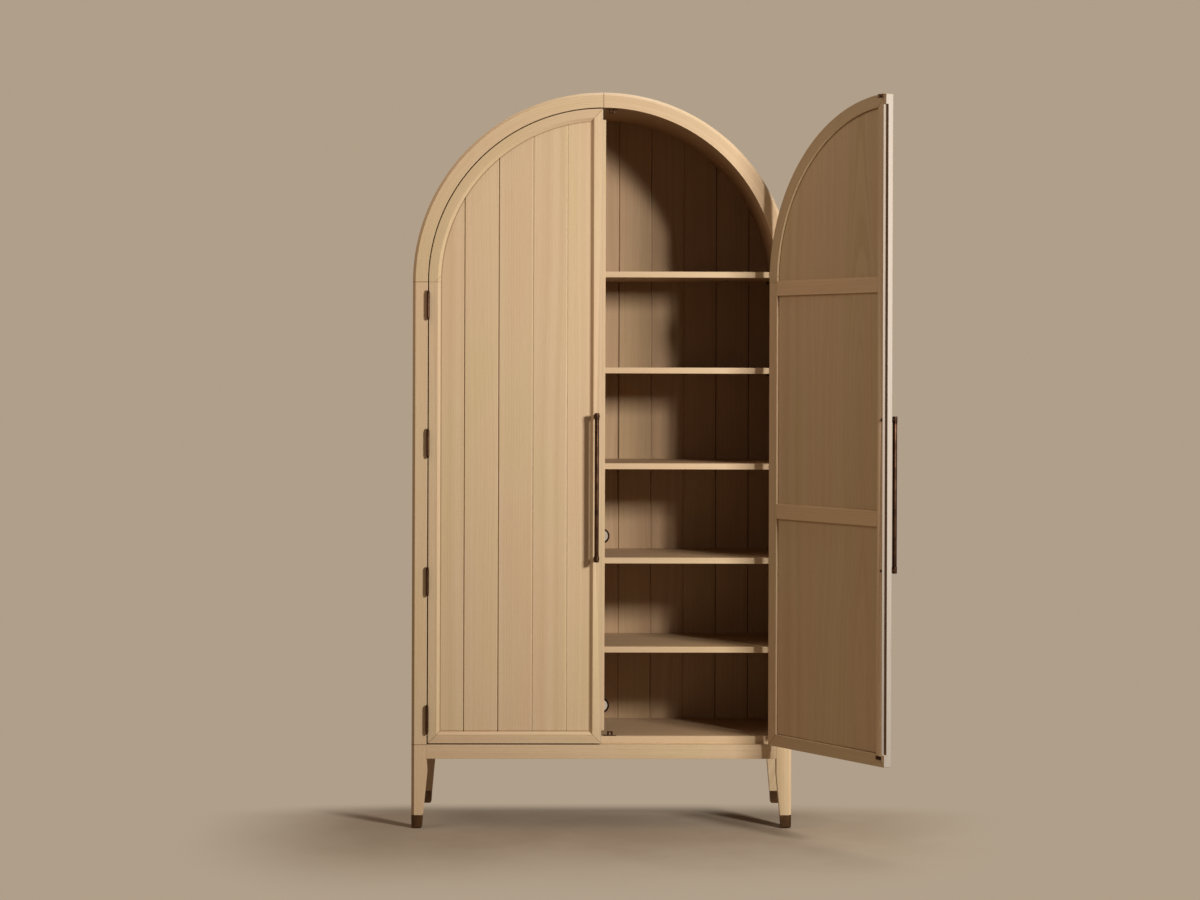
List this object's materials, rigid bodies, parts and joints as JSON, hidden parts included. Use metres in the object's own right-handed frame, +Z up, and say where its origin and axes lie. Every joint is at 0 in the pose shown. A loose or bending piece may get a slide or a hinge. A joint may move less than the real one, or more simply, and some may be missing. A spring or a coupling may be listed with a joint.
{
  "type": "arched cabinet",
  "caption": "Tall oak cabinet with an arched top, a pair of plank-fronted doors that fill the arch, shelves inside and tapered legs in bronze caps.",
  "frame": {"origin": "on the floor, in the middle of the rectangle of the four feet", "axes": "+X to the right of someone facing the doors, +Y to the back, +Z up"},
  "size_m": [1.3773, 0.9006, 2.164],
  "materials": {
    "oak_frame": "pale, matt, bleached oak",
    "oak_panels": "pale, matt, bleached oak boards",
    "oak_inside": "pale, matt oak inside the case",
    "bronze": "dark, oiled bronze",
    "steel": "polished"
  },
  "bodies": {
    "cabinet": {"apron_back": "oak_frame", "apron_front": "oak_frame", "apron_left": "oak_frame", "apron_right": "oak_frame", "arch_left": "oak_frame", "arch_right": "oak_frame", "back_boards": "oak_inside", "back_centre_board": "oak_inside", "bottom_lipping": "oak_inside", "bottom_panel": "oak_inside", "catch_housings": "bronze", "cord_grommets": "bronze", "dowels": "oak_inside", "foot_caps": "bronze", "hinge_case_leaves": "bronze", "hinge_pins": "bronze", "leg_back_left": "oak_frame", "leg_back_right": "oak_frame", "leg_front_left": "oak_frame", "leg_front_right": "oak_frame", "shelf_1": "oak_inside", "shelf_2": "oak_inside", "shelf_3": "oak_inside", "shelf_4": "oak_inside", "shelf_5": "oak_inside", "shelf_pins": "bronze", "side_left": "oak_frame", "side_right": "oak_frame"},
    "left_door": {"left_arch_rail": "oak_frame", "left_backing_panel": "oak_panels", "left_boards": "oak_panels", "left_bottom_rail": "oak_frame", "left_cross_rails": "oak_panels", "left_handle": "bronze", "left_handle_screws": "bronze", "left_hinge_leaves": "bronze", "left_hinge_stile": "oak_frame", "left_lip": "oak_frame", "left_meeting_stile": "oak_frame", "left_strikes": "bronze"},
    "right_door": {"right_arch_rail": "oak_frame", "right_backing_panel": "oak_panels", "right_boards": "oak_panels", "right_bottom_rail": "oak_frame", "right_cross_rails": "oak_panels", "right_handle": "bronze", "right_handle_screws": "bronze", "right_hinge_leaves": "bronze", "right_hinge_stile": "oak_frame", "right_meeting_stile": "oak_frame", "right_strikes": "bronze"},
    "ball_left_bottom_1_body": {"ball_left_bottom_1": "steel"},
    "ball_left_bottom_2_body": {"ball_left_bottom_2": "steel"},
    "ball_left_top_1_body": {"ball_left_top_1": "steel"},
    "ball_left_top_2_body": {"ball_left_top_2": "steel"},
    "ball_right_bottom_1_body": {"ball_right_bottom_1": "steel"},
    "ball_right_bottom_2_body": {"ball_right_bottom_2": "steel"},
    "ball_right_top_1_body": {"ball_right_top_1": "steel"},
    "ball_right_top_2_body": {"ball_right_top_2": "steel"}
  },
  "joints": [
    {"name": "left_door_swing", "type": "hinge", "parent": "cabinet", "child": "left_door", "pos_m": [-0.51275, -0.235, 1], "axis": [0, 0, -1], "range_deg": [0, 175]},
    {"name": "right_door_swing", "type": "hinge", "parent": "cabinet", "child": "right_door", "pos_m": [0.51275, -0.235, 1], "axis": [0, 0, 1], "range_deg": [-125, 50]},
    {"name": "ball_left_bottom_1_slide", "type": "slide", "parent": "cabinet", "child": "ball_left_bottom_1_body", "axis": [-1, 0, 0], "range_m": [0, 0.001], "stiffness_N_per_m": 300, "springref_m": -0.002},
    {"name": "ball_left_bottom_2_slide", "type": "slide", "parent": "cabinet", "child": "ball_left_bottom_2_body", "axis": [1, 0, 0], "range_m": [0, 0.001], "stiffness_N_per_m": 300, "springref_m": -0.002},
    {"name": "ball_left_top_1_slide", "type": "slide", "parent": "cabinet", "child": "ball_left_top_1_body", "axis": [-1, 0, 0], "range_m": [0, 0.001], "stiffness_N_per_m": 300, "springref_m": -0.002},
    {"name": "ball_left_top_2_slide", "type": "slide", "parent": "cabinet", "child": "ball_left_top_2_body", "axis": [1, 0, 0], "range_m": [0, 0.001], "stiffness_N_per_m": 300, "springref_m": -0.002},
    {"name": "ball_right_bottom_1_slide", "type": "slide", "parent": "cabinet", "child": "ball_right_bottom_1_body", "axis": [1, 0, 0], "range_m": [0, 0.001], "stiffness_N_per_m": 300, "springref_m": -0.002},
    {"name": "ball_right_bottom_2_slide", "type": "slide", "parent": "cabinet", "child": "ball_right_bottom_2_body", "axis": [-1, 0, 0], "range_m": [0, 0.001], "stiffness_N_per_m": 300, "springref_m": -0.002},
    {"name": "ball_right_top_1_slide", "type": "slide", "parent": "cabinet", "child": "ball_right_top_1_body", "axis": [1, 0, 0], "range_m": [0, 0.001], "stiffness_N_per_m": 300, "springref_m": -0.002},
    {"name": "ball_right_top_2_slide", "type": "slide", "parent": "cabinet", "child": "ball_right_top_2_body", "axis": [-1, 0, 0], "range_m": [0, 0.001], "stiffness_N_per_m": 300, "springref_m": -0.002}
  ]
}
